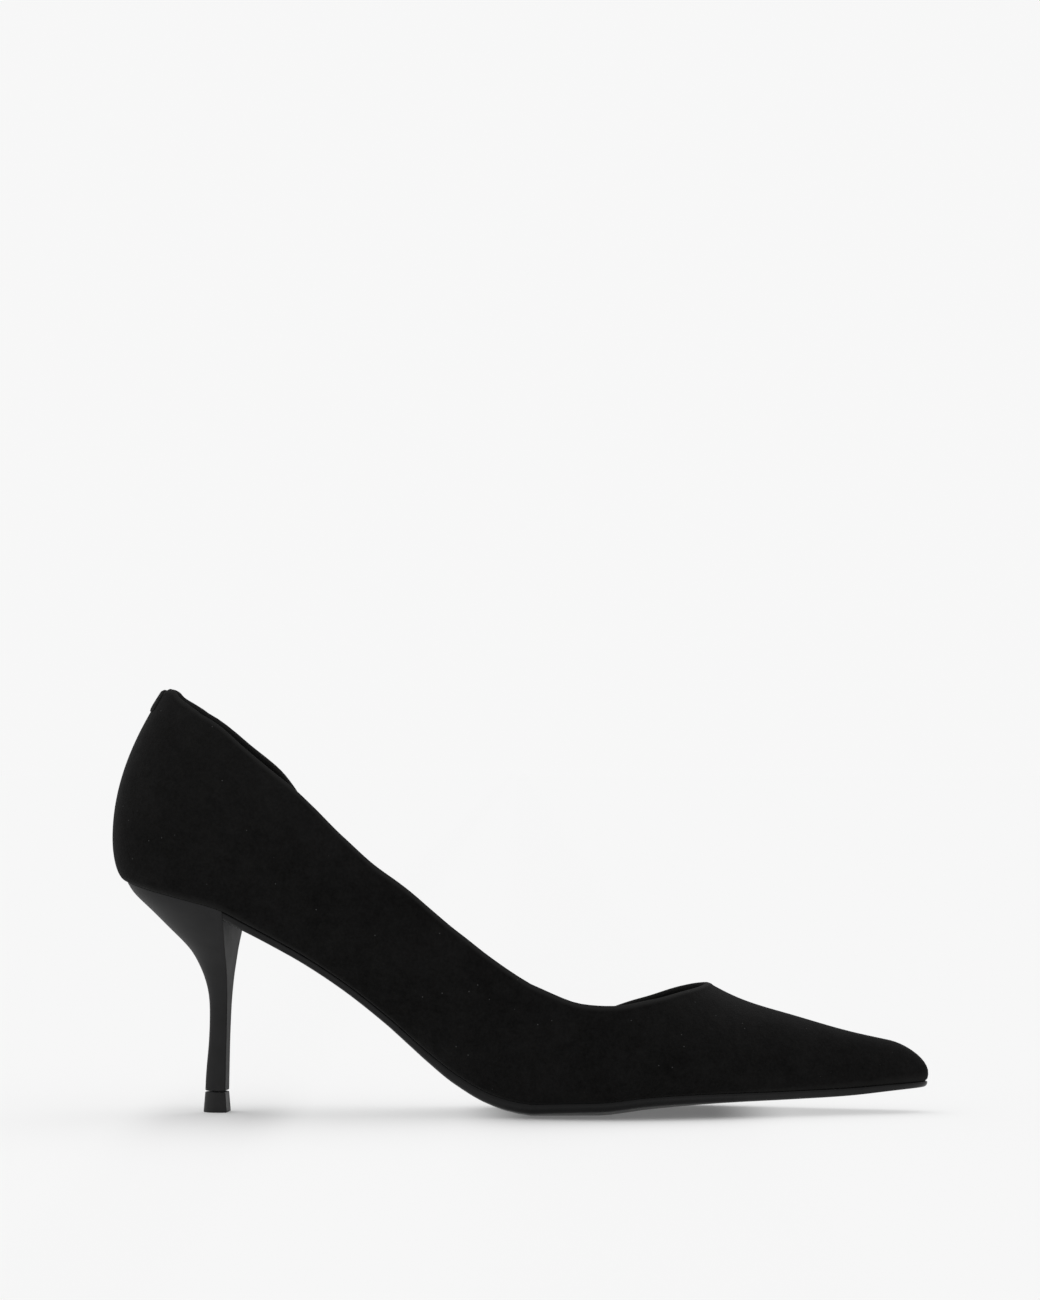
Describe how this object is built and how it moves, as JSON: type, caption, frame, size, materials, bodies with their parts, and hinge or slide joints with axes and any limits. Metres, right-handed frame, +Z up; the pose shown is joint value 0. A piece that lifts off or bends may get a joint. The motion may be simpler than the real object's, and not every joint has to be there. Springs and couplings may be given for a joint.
{
  "type": "dorsay pump",
  "caption": "Half d'Orsay pump for the right foot: pointed closed toe, closed heel cup and outer wall, inner side cut away, thin sole and slim curved heel.",
  "frame": {"origin": "centre of the bounding box, on the floor", "axes": "+X from the heel to the toe, +Y towards the inner side of the foot, +Z up"},
  "size_m": [0.248, 0.079, 0.1295],
  "materials": {
    "suede": "black suede with a short nap",
    "sock": "smooth black lining leather",
    "heel_lacquer": "satin black",
    "rubber": "matt black"
  },
  "bodies": {
    "root": {"upper": "suede", "back_tab": "suede", "insole": "sock", "outsole": "rubber", "heel": "heel_lacquer", "top_lift": "rubber"}
  },
  "joints": []
}
